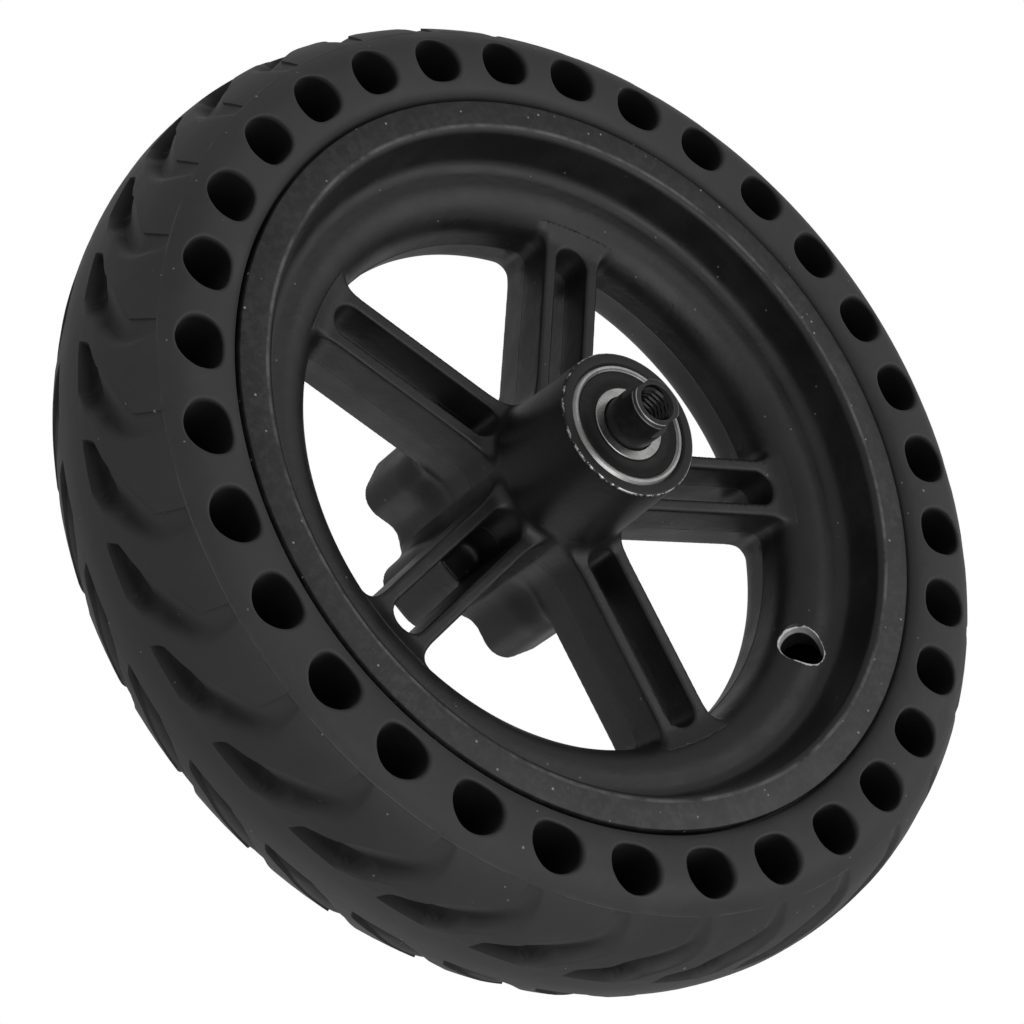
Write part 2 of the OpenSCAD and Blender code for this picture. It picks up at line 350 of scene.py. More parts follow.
def rim_paint():
    """The wheel's paint, dusty and chipped on the lips, with a painted highlight along the lip's rounded
    corner, and bare metal just inside the valve hole.
    """
    s = Shader("rim_paint")
    colour, roughness, normal = paint_layers(s)
    out, across = s.radius(), s.math("ABSOLUTE", s.along())
    lip = s.times(s.ramp(out, *LIP_RADIUS), s.ramp(across, *LIP_ACROSS))
    grit = s.ramp(s.noise(520, 5, 0.7), 0.44, 0.60)
    dirt = s.times(grit, s.ramp(s.noise(70, 4, 0.6), 0.3, 0.7, 0.4, 1.0))
    colour = s.mix(s.times(s.times(lip, dirt), 0.35), colour, grey(0.055, 0.02))
    chips = s.times(lip, s.specks(620, 0.22, 0.10))
    colour = s.mix(s.times(chips, 0.8), colour, grey(0.34, 0.02))
    # painted highlight along the lip's rounded corner, broken up by noise
    corner = s.times(s.ramp(out, *CORNER_START), s.ramp(out, *CORNER_END, 1.0, 0.0))
    corner = s.times(corner, s.ramp(across, *CORNER_ACROSS))
    corner_highlight = s.times(corner, s.ramp(s.noise(90, 5, 0.7), 0.36, 0.62))
    colour = s.mix(s.times(corner_highlight, 0.55), colour, grey(0.16))
    to_hole = s.nodes.new("ShaderNodeMapping")
    to_hole.vector_type = "TEXTURE"
    frame_of_hole = valve_frame()
    to_hole.inputs["Location"].default_value = frame_of_hole.to_translation()
    to_hole.inputs["Rotation"].default_value = frame_of_hole.to_euler("XYZ")
    s.links.new(s.place, to_hole.inputs["Vector"])
    split = s.nodes.new("ShaderNodeSeparateXYZ")
    s.links.new(to_hole.outputs["Vector"], split.inputs[0])
    reach = s.hypot(split.outputs["X"], split.outputs["Y"])
    reach = s.math("ADD", reach, s.ramp(s.noise(420, 4, 0.7), 0.3, 0.7, -0.0002, 0.0002))
    from_centre = s.math("SUBTRACT", out, ROLL_CENTRE * MM)
    from_roll = s.hypot(from_centre, s.math("SUBTRACT", across, ROLL_HALF * MM))
    near_mouth = s.ramp(from_roll, (ROLL - 2.4) * MM, (ROLL - 1.9) * MM)
    edge = (VALVE_RADIUS + 0.3) * MM
    bare = s.times(s.ramp(reach, edge - 0.15 * MM, edge, 1.0, 0.0), near_mouth)
    scratched = s.mix(s.noise(900, 4, 0.7), grey(0.38, 0.01), grey(0.90, 0.01))
    colour = s.mix(bare, colour, scratched)
    roughness = s.blend(bare, roughness, 0.5)
    return s.finish(colour, roughness, normal, metallic=s.times(bare, 0.4))


def hub_paint():
    """The wheel's paint, scraped to bright metal in flecks along the edge of the hub's end faces."""
    s = Shader("hub_paint")
    peel = s.noise(700, 3, 0.55)
    middle, half = (HUB_NEAR + HUB_FAR) / 2, (HUB_NEAR - HUB_FAR) / 2
    ends = s.math("ABSOLUTE", s.math("ADD", s.along(), middle * MM))
    reached = s.ramp(ends, (half - CHAMFER_DEPTH) * MM, (half - CHAMFER_DEPTH + 0.1) * MM)
    edge = s.times(s.ramp(s.radius(), *CHAMFER_START), reached)
    face = s.ramp(s.radius(), *CHAMFER_END, 1.0, 0.0)
    chips = s.ramp(s.noise(620, 5, 0.75), 0.47, 0.55)
    worn = s.times(s.times(edge, face), chips)
    rings = s.math("SINE", s.times(s.radius(), HUB_TURNING))
    colour = s.mix(worn, grey(PAINT), grey(0.60, 0.01))
    roughness = s.blend(worn, 0.42, 0.30)
    normal = s.bump(peel, 0.00012, 0.5)
    normal = s.bump(rings, 0.00003, 0.25, normal)
    return s.finish(colour, roughness, normal, metallic=worn, specular=0.35)


def bearing_steel():
    s = Shader("bearing_steel")
    rings = s.math("SINE", s.times(s.radius(), STEEL_TURNING))
    stain = s.noise(180, 4, 0.6)
    colour = s.mix(s.ramp(stain, 0.4, 0.75), grey(0.42, 0.01), grey(0.30, 0.02))
    # painted shade: a thin dark line on the outer ring's face
    from_line = s.away(s.radius(), SHADE_LINE_RADIUS)
    colour = s.mix(s.ramp(from_line, *SHADE_LINE_HALF, 0.75, 0.0), colour, grey(0.05))
    roughness = s.ramp(stain, 0.3, 0.7, 0.22, 0.34)
    return s.finish(colour, roughness, s.bump(rings, 0.00002, 0.3), metallic=1.0)


def ball_steel():
    s = Shader("ball_steel")
    haze = s.noise(400, 2, 0.5)
    colour = s.mix(haze, grey(0.70), grey(0.78))
    return s.finish(colour, s.ramp(haze, 0.3, 0.7, 0.06, 0.12), s.bump(haze, 0.00001, 0.2), metallic=1.0)


def cage_steel():
    s = Shader("cage_steel")
    haze = s.noise(300, 4, 0.6)
    colour = s.mix(haze, grey(0.42, 0.02), grey(0.56, 0.02))
    return s.finish(colour, s.ramp(haze, 0.3, 0.7, 0.30, 0.45), s.bump(haze, 0.00004, 0.4), metallic=1.0)


def seal_rubber():
    s = Shader("seal_rubber")
    grain = s.noise(900, 3, 0.6)
    film = s.ramp(s.noise(150, 4, 0.6), 0.5, 0.8)
    colour = s.mix(s.times(film, 0.4), grey(0.006), grey(0.022, 0.03))
    return s.finish(colour, s.ramp(grain, 0.3, 0.7, 0.5, 0.62), s.bump(grain, 0.00006, 0.5), specular=0.3)


def axle_black():
    """Black oxide, worn to bright steel along the edges of the ends, and oily black in the threads."""
    s = Shader("axle_black")
    grain = s.noise(650, 4, 0.6)
    worn = s.times(s.mark(), s.ramp(s.noise(330, 4, 0.7), 0.30, 0.52, 0.35, 1.0))
    thread = s.ramp(s.radius(), *THREAD_MOUTH, 1.0, 0.0)
    colour = s.mix(s.ramp(grain, 0.35, 0.7), grey(0.014), grey(0.026))
    colour = s.mix(thread, colour, grey(0.008))
    colour = s.mix(worn, colour, grey(0.62, 0.01))
    roughness = s.blend(thread, s.ramp(grain, 0.3, 0.7, 0.34, 0.48), 0.22)
    return s.finish(colour, roughness, s.bump(grain, 0.00008, 0.5), metallic=s.blend(worn, 0.35, 1.0))


# ---------------------------------------------------------------- tyre

# Distance from the middle of the tread over the surface (s), with the radius and half width there
SKIN_POINTS = [(111.5, 0), (111.35, 2.6), (110.95, 5.6), (110.1, 9.4), (108.6, 13.3), (106.6, 17.2),
               (104.9, 19.7), (103.2, 21.6), (101.8, 22.9), (100.2, 24.0), (98.6, 24.65), (97.0, 24.9),
               (93.7, 24.8), (91.0, 24.5), (89.0, 24.1), (87.9, 23.8), (87.0, 23.45), (86.35, 22.95),
               (85.85, 22.2), (85.6, 21.2)]
SKIN = np.array(SKIN_POINTS, float)
SKIN_S = np.concatenate([[0], np.cumsum(np.hypot(*np.diff(SKIN, axis=0).T))])
INNER_PROFILE = [(85.4, 20.2), (85.3, 19.25), (80.7, 19.2), (80.7, 9.9), (77.3, 8.0)]

# How the groove's two edges run round the tyre (degrees past its start) as s grows, and its depth
GROOVE_S = [4.5, 5.2, 6.0, 6.75, 8.0, 9.3, 10.4, 12.3, 13.8, 15.0, 17.0, 18.2, 20.0, 22.0, 24.0]
GROOVE_LEFT = [0.0, 0.2, 0.4, 0.55, 1.1, 3.0, 4.4, 5.6, 7.0, 8.2, 10.1, 11.3, 11.6, 11.8, 12.0]
GROOVE_RIGHT = [6.4, 7.0, 8.3, 9.1, 9.9, 10.8, 11.8, 13.3, 14.1, 14.5, 14.85, 14.85, 14.75, 14.55, 14.25]
GROOVE_DEPTH = [3.4, 3.4, 3.4, 3.4, 3.3, 3.0, 2.7, 2.3, 2.0, 1.7, 1.35, 1.15, 0.95, 0.7, 0.3]
# Depth just inside the left edge, and where across the groove the floor reaches its full depth
LEFT_STEP = [3.2, 3.1, 2.8, 2.4, 1.6, 1.0, 0.7, 0.5, 0.4, 0.35, 0.35, 0.5, 0.5, 0.45, 0.25]
FALL_END = [0.1, 0.1, 0.2, 0.3, 0.45, 0.55, 0.6, 0.65, 0.65, 0.65, 0.65, 0.6, 0.6, 0.6, 0.6]
# Where the floor starts its soft rise to the groove's right edge
RISE_START = [0.85, 0.8, 0.75, 0.72, 0.7, 0.69, 0.68, 0.68, 0.68, 0.68, 0.67, 0.66, 0.65, 0.65, 0.65]
WALL_CURVE = 0.35                         # how softly the inner wall turns into the floor, mm
RIB_ANGLE = 5.9                           # the thin rib across the groove's pocket, at RIB_FROM
RIB_SLANT = 0.14                          # how far it leans back, degrees for each mm
RIB_FROM = 5.0
RIB_TO = 10.0
RIB_HEIGHT = 0.6
RIB_CREST = 0.16                          # half widths of its top and its foot, degrees
RIB_FOOT = 0.6
GROOVE_END = 24.2

# Mesh columns across one pitch: up to the rib's foot, over the rib, past it, and over the land
BEFORE_RIB = [0.0, 0.06, 0.2, 0.45, 0.72]
AFTER_RIB = [0.2, 0.4, 0.6, 0.78, 0.9, 1.0]
ACROSS_LAND = [0.1, 0.32, 0.58, 0.84]
RIB_COLUMNS = 4
GROOVE_COLUMNS = len(BEFORE_RIB) + RIB_COLUMNS + len(AFTER_RIB)
SPLIT_COLUMN = GROOVE_COLUMNS + 2         # the column that also bounds the sidewall patches
COLUMNS = GROOVE_COLUMNS + len(ACROSS_LAND)
TREAD_ROWS = [0.0, 1.6, 3.0, 4.1, 4.5, 4.72, 5.05, 5.5, 6.2, 7.0, 7.8, 8.6, 9.4, 10.3, 11.2, 12.2, 13.2,
              14.2, 15.2, 16.2, 17.2, 18.2, 19.4, 20.6, 21.8, 22.8, 23.6, 24.0, 24.3, 24.45, 24.6, 25.6,
              26.8]
RIDGE_S = 24.45                           # the mould's parting ridge on the shoulder
RIDGE_HEIGHT = 0.07
RIDGE_RADIUS = 102.62                     # where the material draws the ridge's light line
PATCH_TOP = 26.8                          # s where the patches round the holes begin and end
PATCH_END = 41.0
PATCH_ROWS = 7
HOLE_HALF_WIDTH = 5.75                    # round the tyre
HOLE_OUTER = 5.5                          # towards the tread
HOLE_INNER = 4.75                         # towards the rim, where the outline is flatter
HOLE_CIRCLE = 94.0
HOLE_POWER = 2.5                          # how square that outline is
HOLE_LIP = 0.7
HOLE_FLOOR = 4.5                          # from the wheel's middle
HOLE_CLOSING = (0.42, 0.74, 0.92, 1.0)    # share of the way from a patch's outline to the hole's lip
# Rings over the lip and down the wall, as (outside the hole's outline, below the sidewall), then the floor
HOLE_RINGS = ((0.4, 0.1), (0.18, 0.32), (0.05, 0.65), (0.0, 1.4), (-0.1, None), (-0.9, None))


def skin(s):
    """Radius and half width of the tyre's surface at s, with the surface's normal there."""
    r = np.interp(s, SKIN_S, SKIN[:, 0])
    w = np.interp(s, SKIN_S, SKIN[:, 1])
    step = 1.2
    dr = np.interp(s + step, SKIN_S, SKIN[:, 0]) - np.interp(np.maximum(s - step, 0), SKIN_S, SKIN[:, 0])
    dw = np.interp(s + step, SKIN_S, SKIN[:, 1]) - np.interp(np.maximum(s - step, 0), SKIN_S, SKIN[:, 1])
    length = np.hypot(dr, dw)
    return r, w, dw / length, -dr / length


def tread_row(s):
    """Angle, depth and painted shade of every column at s."""
    at = min(max(s, GROOVE_S[0]), GROOVE_S[-1])
    left, right, depth, step, end, rise = (
        float(np.interp(at, GROOVE_S, values)) for values in
        (GROOVE_LEFT, GROOVE_RIGHT, GROOVE_DEPTH, LEFT_STEP, FALL_END, RISE_START))
    rib = RIB_ANGLE - RIB_SLANT * (at - RIB_FROM)
    middle = min(max((rib - left) / (right - left), 0.2), 0.85)
    width = 1 / (right - left)
    low, high = middle - RIB_FOOT * width, middle + RIB_FOOT * width
    across = [low * t for t in BEFORE_RIB]
    across += [low, middle - RIB_CREST * width, middle + RIB_CREST * width, high]
    across = np.array(across + [high + (1 - high) * t for t in AFTER_RIB])
    angles = list(left + (right - left) * across)
    angles += [right + (left + PITCH - right) * t for t in ACROSS_LAND]
    fall = step + (depth - step) * smoothstep(0.0, end, across)
    fall *= 1 - smoothstep(rise, 1.0, across)
    ends = smoothstep(RIB_FROM - 0.6, RIB_FROM, s) * (1 - smoothstep(RIB_TO - 0.8, RIB_TO + 0.4, s))
    away = np.abs(left + (right - left) * across - rib)
    ends = ends * smoothstep(0.4, 0.7, across) * np.minimum(fall / depth, 1)
    fall -= RIB_HEIGHT * ends * (1 - smoothstep(RIB_CREST, RIB_FOOT, away))
    fall[0] = 0.0
    fall[-1] = 0.0
    inside = (1 - math.exp(-(s - GROOVE_S[0]) / WALL_CURVE)) if GROOVE_S[0] < s < GROOVE_END else 0.0
    land = np.zeros(len(ACROSS_LAND))
    # painted shade: darker where the groove is deeper and towards its right edge, lighter past s = 6 mm
    shade = smoothstep(0.5, 2.6, fall * inside) * (0.4 + 0.6 * smoothstep(0.1, 0.5, across))
    shade = shade * (1 - 0.3 * smoothstep(6.0, 9.5, s))
    return np.array(angles) + GROOVE_START, np.append(fall * inside, land), np.append(shade, land)


def tyre_point(angle, r, w, side):
    a = math.radians(angle)
    return (r * math.cos(a), side * w, r * math.sin(a))


def tyre_mesh():
    """Points, faces and the painted shade of each point, which is 1 at the bottom of the grooves' pockets.
    """
    points = []
    faces = []
    shades = []
    index = {}

    def point(key, place, shade):
        if key not in index:
            index[key] = len(points)
            points.append(place)
            shades.extend([0.0] * (len(points) - len(shades)))
            shades[-1] = float(shade)
        return index[key]

    def face(side, *corners):
        faces.append(corners if side > 0 else corners[::-1])

    hole_column_angles = uniform_angles()
    for side in (1, -1):
        rows = []
        for level, s in enumerate(TREAD_ROWS):
            angles, depths, dark = tread_row(s)
            settle = 0.55 * smoothstep(GROOVE_END, PATCH_TOP, s)
            angles = angles + (hole_column_angles - angles) * settle
            if s == RIDGE_S:
                depths[GROOVE_COLUMNS:] -= RIDGE_HEIGHT
            r, w, nr, nw = skin(s)
            row = []
            for sector in range(PITCHES):
                for c in range(COLUMNS):
                    key = (0 if level == 0 else side, level, sector, c)
                    place = tyre_point(angles[c] + sector * PITCH, r - nr * depths[c],
                                       w - nw * depths[c], side)
                    row.append(point(key, place, dark[c]))
            rows.append(row)
        count = PITCHES * COLUMNS
        for upper, lower in zip(rows, rows[1:]):
            for c in range(count):
                d = (c + 1) % count
                face(side, upper[c], upper[d], lower[d], lower[c])
        foot = sidewall(side, rows[-1], points, face)
        inner = [foot]
        for r, w in INNER_PROFILE:
            inner.append([len(points) + c for c in range(count)])
            for c in range(count):
                x, _, z = points[foot[c]]
                length = math.hypot(x, z)
                points.append((x * r / length, side * w, z * r / length))
        for upper, lower in zip(inner, inner[1:]):
            for c in range(count):
                d = (c + 1) % count
                face(side, upper[c], upper[d], lower[d], lower[c])
        if side > 0:
            far_edge = inner[-1]
        else:
            for c in range(count):
                d = (c + 1) % count
                faces.append((far_edge[c], far_edge[d], inner[-1][d], inner[-1][c]))
    shades += [0.0] * (len(points) - len(shades))
    return points, faces, shades


def uniform_angles():
    """Evenly spaced column angles, lined up so that SPLIT_COLUMN lies midway between two holes."""
    middle = HOLE_ANGLE + PITCH * 1.5
    return np.array([middle + (c - SPLIT_COLUMN) * PITCH / COLUMNS for c in range(COLUMNS)])


def sidewall(side, top, points, face):
    """The sidewall below the tread, one patch round each blind hole. Returns its foot's point numbers."""
    count = PITCHES * COLUMNS
    levels = np.linspace(PATCH_TOP, PATCH_END, PATCH_ROWS + 1)[1:]
    r, w, _, _ = skin(PATCH_END)
    foot = [0] * count
    base = uniform_angles()
    for sector in range(PITCHES):
        for c in range(COLUMNS):
            foot[sector * COLUMNS + c] = len(points)
            points.append(tyre_point(base[c] + sector * PITCH, r, w, side))
    seam = {}
    for sector in range(PITCHES):
        angle = base[SPLIT_COLUMN] + sector * PITCH
        column = []
        for s in levels[:-1]:
            column.append(len(points))
            rr, ww, _, _ = skin(s)
            points.append(tyre_point(angle, rr, ww, side))
        seam[sector] = column
    for sector in range(PITCHES):
        first = sector * COLUMNS + SPLIT_COLUMN
        upper = [(first + k) % count for k in range(COLUMNS + 1)]
        ring = [top[k] for k in upper]
        ring += seam[(sector + 1) % PITCHES]
        ring += [foot[k] for k in reversed(upper)]
        ring += reversed(seam[sector])
        centre = base[SPLIT_COLUMN] + PITCH / 2 + sector * PITCH
        hole(side, ring, centre, points, face)
    for s in SKIN_S[-2:]:
        rr, ww, _, _ = skin(s)
        lower = []
        for k in foot:
            x, _, z = points[k]
            length = math.hypot(x, z)
            lower.append(len(points))
            points.append((x * rr / length, side * ww, z * rr / length))
        for c in range(count):
            d = (c + 1) % count
            face(side, foot[c], foot[d], lower[d], lower[c])
        foot = lower
    return foot


def hole(side, ring, centre, points, face):
    """Fills a patch's outline with rings that close in on the hole, then the hole's lip, wall and floor."""
    plane = []
    for k in ring:
        x, _, z = points[k]
        r = math.hypot(x, z)
        angle = (math.degrees(math.atan2(z, x)) - centre + 180) % 360 - 180
        plane.append((math.radians(angle) * HOLE_CIRCLE, r - HOLE_CIRCLE))
    turn = [math.atan2(b, a) for a, b in plane]
    outline = ring
    for t in HOLE_CLOSING:
        inner = []
        for (a, b), phi in zip(plane, turn):
            radius = hole_radius(phi) + HOLE_LIP
            x = a + (radius * math.cos(phi) - a) * t
            y = b + (radius * math.sin(phi) - b) * t
            inner.append(len(points))
            points.append(tyre_point(centre + math.degrees(x / HOLE_CIRCLE), HOLE_CIRCLE + y,
                                     surface_width(HOLE_CIRCLE + y), side))
        outline = join(side, outline, inner, face)
    for out, drop in HOLE_RINGS:
        inner = []
        for phi in turn:
            radius = hole_radius(phi) + out
            x, y = radius * math.cos(phi), radius * math.sin(phi)
            w = surface_width(HOLE_CIRCLE + y) - drop if drop else HOLE_FLOOR + max(0.9 + out, 0)
            inner.append(len(points))
            points.append(tyre_point(centre + math.degrees(x / HOLE_CIRCLE), HOLE_CIRCLE + y, w, side))
        outline = join(side, outline, inner, face)
    face(side, *outline)


def hole_radius(phi):
    """The hole's outline: an ellipse on the tread side and a squarer, flatter curve on the rim side."""
    c, s = abs(math.cos(phi)) / HOLE_HALF_WIDTH, math.sin(phi)
    if s > 0:
        return 1 / math.hypot(c, s / HOLE_OUTER)
    return 1 / (c ** HOLE_POWER + (-s / HOLE_INNER) ** HOLE_POWER) ** (1 / HOLE_POWER)


def surface_width(r):
    """Half width of the tyre's sidewall at radius r."""
    return float(np.interp(-r, -SKIN[:, 0], SKIN[:, 1]))


def join(side, outline, inner, face):
    """Faces between two rings of equal count. Returns the inner one, as the next outline."""
    count = len(outline)
    for k in range(count):
        m = (k + 1) % count
        face(side, outline[k], outline[m], inner[m], inner[k])
    return inner


# ---------------------------------------------------------------- cast wheel

RIM_WAIST = 61.0                          # the barrel's smallest radius, at mid width
ROLL = 8.5                                # the barrel's rounded slope: its radius and its centre
ROLL_CENTRE = 70.0
ROLL_HALF = 3.5
SPOKE_HALF_DEPTH = 8.5
SPOKE_HALF_WIDTH = 7.1
SPOKE_EDGE = 0.75
SPOKE_DRAFT = 0.6
SLOT_RADIUS = 4.0
SLOT_FIRST = 21.0
SLOT_LAST = 56.4
HUB_RADIUS = 17.6                         # at mid width, less 1 mm for each HUB_TAPER
HUB_TAPER = 34.0
LOBE_REACH = 27.5                         # the brake disc's lobes
LOBE_TOP = 7.9
LOBE_HALF_WIDTH = 9.0
LOBE_CORNER = 5.5
LOBE_EDGE = 0.45
DISC_FACE = 30.0
BOLT_CIRCLE = 22.0
BOLT_RADIUS = 2.1
BOLT_FLOOR = 16.0
BARREL_FILLET = 3.4                       # reach of each soft joint
LOBE_FILLET = 1.6
HUB_FILLET = 4.0
FILLET_LIMIT = 5.5                        # how far a fillet may grow from the spokes and lobes
SPIDER_OUTER = 64.6
SPIDER_INNER = 15.2
VOXEL = 0.5
FIELD_BAND = 2.0                          # distances beyond this are cut off
VALVE_RADIUS = 4.8
VALVE_CHAMFER = 1.8
VALVE_PLACE = (67.4, 10.6)                # radius and n of the middle of its mouth


def rim_profile():
    """Half of the rim's section, from the parting line over the lip to the well's edge, as (radius, n)."""
    inside = [(RIM_WAIST + 0.12, 0.12), (RIM_WAIST + 0.35, 2.0)]
    for k in range(11):
        a = math.radians(176 - k * 8.6)
        inside.append((ROLL_CENTRE + ROLL * math.cos(a), ROLL_HALF + ROLL * math.sin(a)))
    inside += [(72.2, 12.0), (73.3, 12.15), (74.2, 12.55), (74.9, 13.2), (75.35, 14.1), (75.6, 15.0),
               (77.05, 20.0)]
    for k in range(7):
        a = math.radians(172 - k * 13.7)
        inside.append((79.0 + 1.9 * math.cos(a), 20.6 + 1.9 * math.sin(a)))
    lip = [(80.2, 22.5), (84.3, 22.5), (84.7, 22.4), (84.92, 22.15), (85.0, 21.8), (85.0, 19.35)]
    well = [(80.55, 19.3), (80.5, 13.0), (76.5, 8.8), (71.0, 7.5), (66.5, 4.0)]
    return inside + lip + well


def rim_mesh(count=320):
    half = rim_profile()
    mirrored = [(r, -n) for r, n in reversed(half)]
    return turned([(RIM_WAIST, 0.0)] + half + mirrored, count)


def valve_frame():
    """The valve hole's axis: a matrix whose +Z runs outwards along it, from the barrel's near slope."""
    a = math.radians(VALVE_ANGLE)
    out = Vector((math.cos(a), 0, math.sin(a)))
    near = Vector((0, -1, 0))
    axis = (out - near).normalized()
    place = (out * VALVE_PLACE[0] + near * VALVE_PLACE[1]) * MM
    return Matrix.Translation(place) @ axis.to_track_quat("Z", "Y").to_matrix().to_4x4()


def cut_valve_hole(rim):
    """Cuts the leaning valve hole with its small chamfer."""
    wide = VALVE_RADIUS + VALVE_CHAMFER
    before, mouth, beyond = -12.0, -1.0, 24.0
    profile = [(wide, before), (wide, mouth - VALVE_CHAMFER), (VALVE_RADIUS, mouth), (VALVE_RADIUS, beyond)]
    count = 72
    points = []
    faces = []
    for k in range(count):
        a = k * 2 * math.pi / count
        points += [(r * math.cos(a), r * math.sin(a), h) for r, h in profile]
    for k in range(count):
        a, b = 4 * k, 4 * ((k + 1) % count)
        faces += [(a + j, b + j, b + j + 1, a + j + 1) for j in range(3)]
    faces.append(tuple(4 * k for k in reversed(range(count))))
    faces.append(tuple(4 * k + 3 for k in range(count)))
    mesh = bpy.data.meshes.new("valve_cutter")
    mesh.from_pydata((np.array(points) * MM).tolist(), [], faces)
    mesh.transform(valve_frame())
    cutter = bpy.data.objects.new("valve_cutter", mesh)
    link(cutter)
    boolean = rim.modifiers.new("valve hole", "BOOLEAN")
    boolean.operation = "DIFFERENCE"
    boolean.solver = "EXACT"
    boolean.object = cutter
    result = bpy.data.meshes.new_from_object(rim.evaluated_get(bpy.context.evaluated_depsgraph_get()))
    rim.modifiers.clear()
    rim.data = result
    bpy.data.objects.remove(cutter)
    result.shade_smooth()
    result.set_sharp_from_angle(angle=math.radians(RIM_SHARP))


def smooth_min(a, b, reach):
    """The smaller of two distances, with a fillet where they are within reach of each other."""
    overlap = np.maximum(reach - np.abs(a - b), 0.0) / reach
    return np.minimum(a, b) - overlap * overlap * (reach * 0.25)


def extruded(outline, ends, edge):
    """Distance to a flat outline drawn out along the axle, with its edges rounded."""
    a = outline + edge
    b = ends + edge
    return np.minimum(np.maximum(a, b), 0.0) + np.hypot(np.maximum(a, 0.0), np.maximum(b, 0.0)) - edge


def spider_field(x, n, z):
    """Distance in mm to the spokes, the brake disc lobes and their fillets into the rim and the hub."""
    radius = np.hypot(x, z)
    turn = np.arctan2(z, x) - math.radians(SPOKE_ANGLE)
    step = 2 * math.pi / SPOKES
    turn = turn - step * np.round(turn / step)
    u = radius * np.cos(turn)
    v = np.abs(radius * np.sin(turn))
    depth = np.abs(n)
    draft = SPOKE_DRAFT * (1 - np.minimum(depth / SPOKE_HALF_DEPTH, 1))
    flare = 0.9 * smoothstep(56.0, 65.0, u) + 0.5 * (1 - smoothstep(15.0, 24.0, u))
    side = v - (SPOKE_HALF_WIDTH + draft + flare)
    slot = np.hypot(u - np.clip(u, SLOT_FIRST, SLOT_LAST), v) - SLOT_RADIUS
    slot = slot + 0.8 * draft + 0.55 * smoothstep(0.0, SPOKE_HALF_DEPTH, -n)
    rails = extruded(np.maximum(side, -slot), depth - SPOKE_HALF_DEPTH, SPOKE_EDGE)
    barrel = np.hypot(radius - ROLL_CENTRE, np.maximum(depth - ROLL_HALF, 0)) - ROLL
    barrel = barrel - 0.5 * np.maximum(1 - depth / ROLL_HALF, 0)
    hub = radius - (HUB_RADIUS - depth / HUB_TAPER)
    down = np.clip((-n - SPOKE_HALF_DEPTH) / (DISC_FACE - SPOKE_HALF_DEPTH), 0, 1)
    lobe_half = LOBE_HALF_WIDTH - 0.7 * down - 1.6 * smoothstep(-17.0, -8.0, n)
    qu = u - (LOBE_REACH - LOBE_CORNER)
    qv = v - (lobe_half - LOBE_CORNER)
    lobe = np.hypot(np.maximum(qu, 0), np.maximum(qv, 0)) + np.minimum(np.maximum(qu, qv), 0) - LOBE_CORNER
    lobe = extruded(lobe, np.maximum(n + LOBE_TOP, -DISC_FACE - n), LOBE_EDGE)
    field = smooth_min(rails, barrel, BARREL_FILLET)
    field = smooth_min(field, lobe, LOBE_FILLET)
    field = smooth_min(field, hub, HUB_FILLET)
    bolt = np.hypot(u - BOLT_CIRCLE, v) - BOLT_RADIUS
    mouth = 0.4 * smoothstep(-DISC_FACE + 0.8, -DISC_FACE - 0.2, n)
    field = np.maximum(field, -np.maximum(bolt - mouth, n + BOLT_FLOOR))
    near = np.minimum(rails, lobe) - FILLET_LIMIT
    field = np.maximum(field + 0.03, near)
    return np.maximum(field, np.maximum(radius - SPIDER_OUTER, SPIDER_INNER - radius))


def spider_mesh():
    """Polygons of the spider's zero surface, with normals from the field's slope."""
    reach = 65.5
    low = np.array((-reach, -DISC_FACE - 1.5, -reach))
    high = np.array((reach, 13.0, reach))
    size = np.ceil((high - low) / VOXEL).astype(int) + 1
    axes = [low[k] + VOXEL * np.arange(size[k], dtype=np.float32) for k in range(3)]
    x = axes[0][:, None, None]
    n = axes[1][None, :, None]
    z = axes[2][None, None, :]
    shape = np.zeros(tuple(size), np.float32)
    field = spider_field(x + shape, n + shape, z + shape).astype(np.float32)
    grid = openvdb.FloatGrid(FIELD_BAND)
    grid.copyFromArray(np.clip(field, -FIELD_BAND, FIELD_BAND))
    points, triangles, quads = grid.convertToPolygons(isovalue=0.0, adaptivity=0.015)
    points = low + points * VOXEL
    slopes = []
    nudge = 0.3
    for k in range(3):
        ahead, behind = points.copy(), points.copy()
        ahead[:, k] += nudge
        behind[:, k] -= nudge
        slopes.append(spider_field(*ahead.T) - spider_field(*behind.T))
    slopes = np.array(slopes).T
    slopes /= np.maximum(np.linalg.norm(slopes, axis=1, keepdims=True), 1e-9)
    flip = np.array((1, -1, 1))
    faces = [tuple(f) for f in triangles.tolist()] + [tuple(f) for f in quads.tolist()]
    return points * flip, slopes * flip, faces


def hub_mesh():
    """The hub's sleeve with the two bearing seats, closed."""
    profile = [(14.0, 34.1), (14.4, 34.5), (16.05, 34.5), (16.45, 34.34), (16.62, 33.95), (17.6, 0.0),
               (17.0, -28.5), (16.6, -28.5), (16.6, -32.1), (16.2, -32.5), (14.4, -32.5), (14.0, -32.1),
               (14.0, -24.5), (12.0, -24.5), (12.0, 26.5), (14.0, 26.5)]
    radii = [0.1, 0.15, 0.15, 0.15, 0.1, 0, 0.2, 0.1, 0.15, 0.15, 0.1, 0.1, 0.1, 0.1, 0.1, 0.1]
    return turned(rounded(profile, radii, 3), 256)


# ---------------------------------------------------------------- axle

AXLE_RADIUS = 5.98
AXLE_SHOULDER = 7.75
SHOULDER_CHAMFER = 0.3
FLAT_HALF = 4.9
FLAT_LENGTH = 4.6
THREAD_CORE = 3.4
THREAD_CREST = 4.0
THREAD_PITCH = 1.25
THREAD_DEPTH = 20.0
THREAD_START = 0.9                        # of the first thread ring, from the end face
THREAD_RUNOUT = 1.2
THREAD_STEPS = 6                          # rings for each turn of the thread
DRILL_POINT = 1.9
